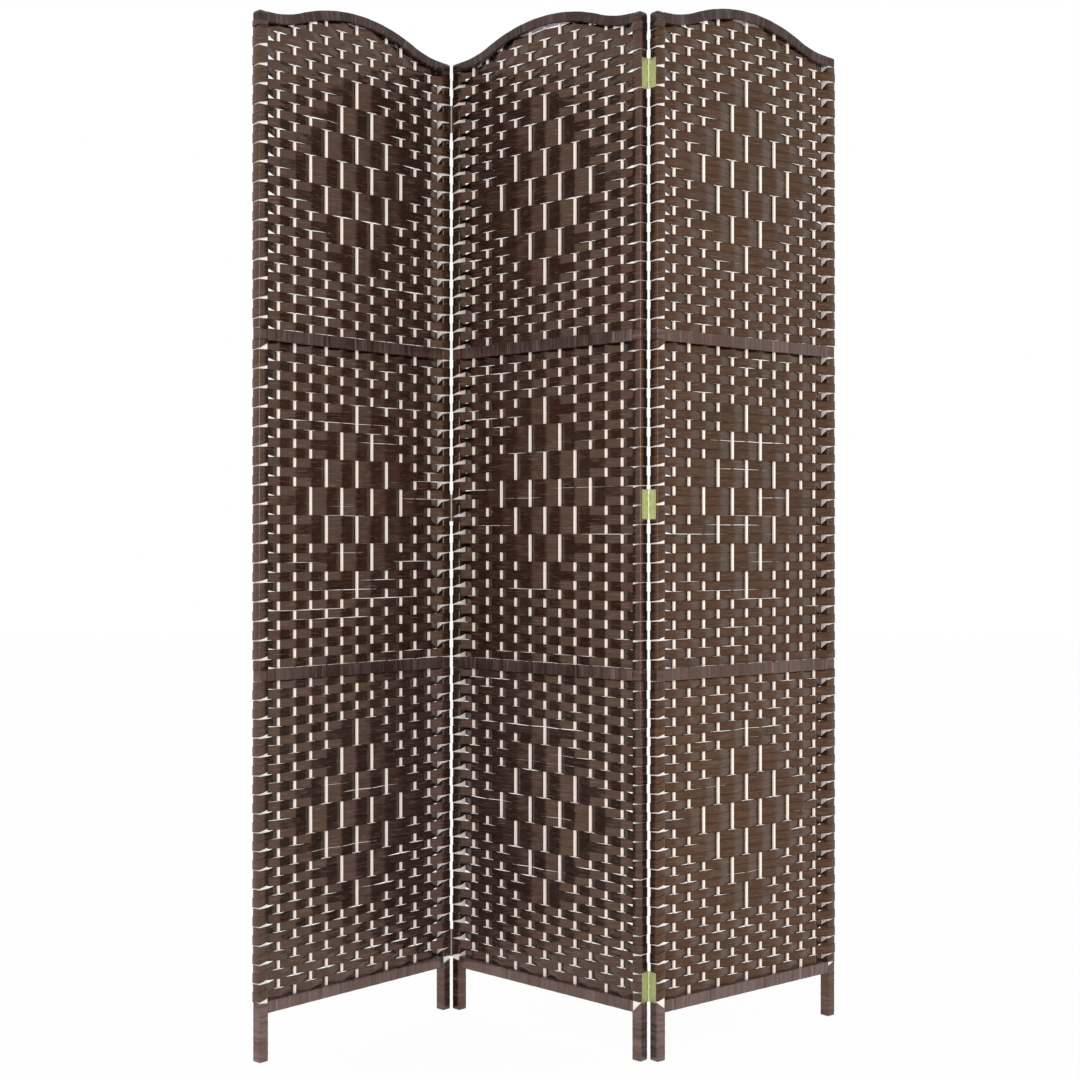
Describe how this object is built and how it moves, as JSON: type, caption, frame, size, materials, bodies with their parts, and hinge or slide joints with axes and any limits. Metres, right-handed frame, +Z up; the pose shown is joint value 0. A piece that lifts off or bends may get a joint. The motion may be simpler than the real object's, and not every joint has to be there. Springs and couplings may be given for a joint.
{
  "type": "paper folding screen",
  "caption": "Free-standing folding room divider: wooden frames with arched tops, woven with dark paper ribbon over pale stakes in a diamond pattern, joined by butt hinges.",
  "frame": {"origin": "on the floor under the middle of the standing screen's box", "axes": "+Z up; -Y towards the viewer of the picture, the side that the ridge between the centre and right panels points to; +X to the viewer's right"},
  "size_m": [1.029, 0.3382, 1.7954],
  "materials": {
    "frame_wood": "bare sawn softwood",
    "stake_wood": "bare, matte",
    "paper_ribbon": "dark brown, matte, fibrous",
    "hinge_brass": "satin, plated",
    "screw_steel": "bright zinc"
  },
  "bodies": {
    "left_panel": {"left_panel_left_stile": "frame_wood", "left_panel_right_stile": "frame_wood", "left_panel_bottom_rail": "frame_wood", "left_panel_lower_rail": "frame_wood", "left_panel_upper_rail": "frame_wood", "left_panel_arch_rail": "frame_wood", "left_panel_upper_stakes": "stake_wood", "left_panel_upper_weave": "paper_ribbon", "left_panel_middle_stakes": "stake_wood", "left_panel_middle_weave": "paper_ribbon", "left_panel_lower_stakes": "stake_wood", "left_panel_lower_weave": "paper_ribbon", "left_panel_rail_wraps": "paper_ribbon", "left_panel_stile_wraps": "paper_ribbon", "left_hinge_outer_leaves": "hinge_brass", "left_hinge_outer_screws": "screw_steel"},
    "centre_panel": {"centre_panel_left_stile": "frame_wood", "centre_panel_right_stile": "frame_wood", "centre_panel_bottom_rail": "frame_wood", "centre_panel_lower_rail": "frame_wood", "centre_panel_upper_rail": "frame_wood", "centre_panel_arch_rail": "frame_wood", "centre_panel_upper_stakes": "stake_wood", "centre_panel_upper_weave": "paper_ribbon", "centre_panel_middle_stakes": "stake_wood", "centre_panel_middle_weave": "paper_ribbon", "centre_panel_lower_stakes": "stake_wood", "centre_panel_lower_weave": "paper_ribbon", "centre_panel_rail_wraps": "paper_ribbon", "centre_panel_stile_wraps": "paper_ribbon", "left_hinge_centre_leaves": "hinge_brass", "left_hinge_centre_screws": "screw_steel", "left_hinge_pins": "hinge_brass", "right_hinge_centre_leaves": "hinge_brass", "right_hinge_centre_screws": "screw_steel", "right_hinge_pins": "hinge_brass"},
    "right_panel": {"right_panel_left_stile": "frame_wood", "right_panel_right_stile": "frame_wood", "right_panel_bottom_rail": "frame_wood", "right_panel_lower_rail": "frame_wood", "right_panel_upper_rail": "frame_wood", "right_panel_arch_rail": "frame_wood", "right_panel_upper_stakes": "stake_wood", "right_panel_upper_weave": "paper_ribbon", "right_panel_middle_stakes": "stake_wood", "right_panel_middle_weave": "paper_ribbon", "right_panel_lower_stakes": "stake_wood", "right_panel_lower_weave": "paper_ribbon", "right_panel_rail_wraps": "paper_ribbon", "right_panel_stile_wraps": "paper_ribbon", "right_hinge_outer_leaves": "hinge_brass", "right_hinge_outer_screws": "screw_steel"}
  },
  "joints": [
    {"name": "left_fold", "type": "hinge", "parent": "centre_panel", "child": "left_panel", "pos_m": [-0.18878, 0.1564, 0.932], "axis": [0, 0, 1], "range_deg": [-91.4, 88.6]},
    {"name": "right_fold", "type": "hinge", "parent": "centre_panel", "child": "right_panel", "pos_m": [0.14738, -0.14865, 0.932], "axis": [0, 0, 1], "range_deg": [-83.2, 96.8]}
  ]
}
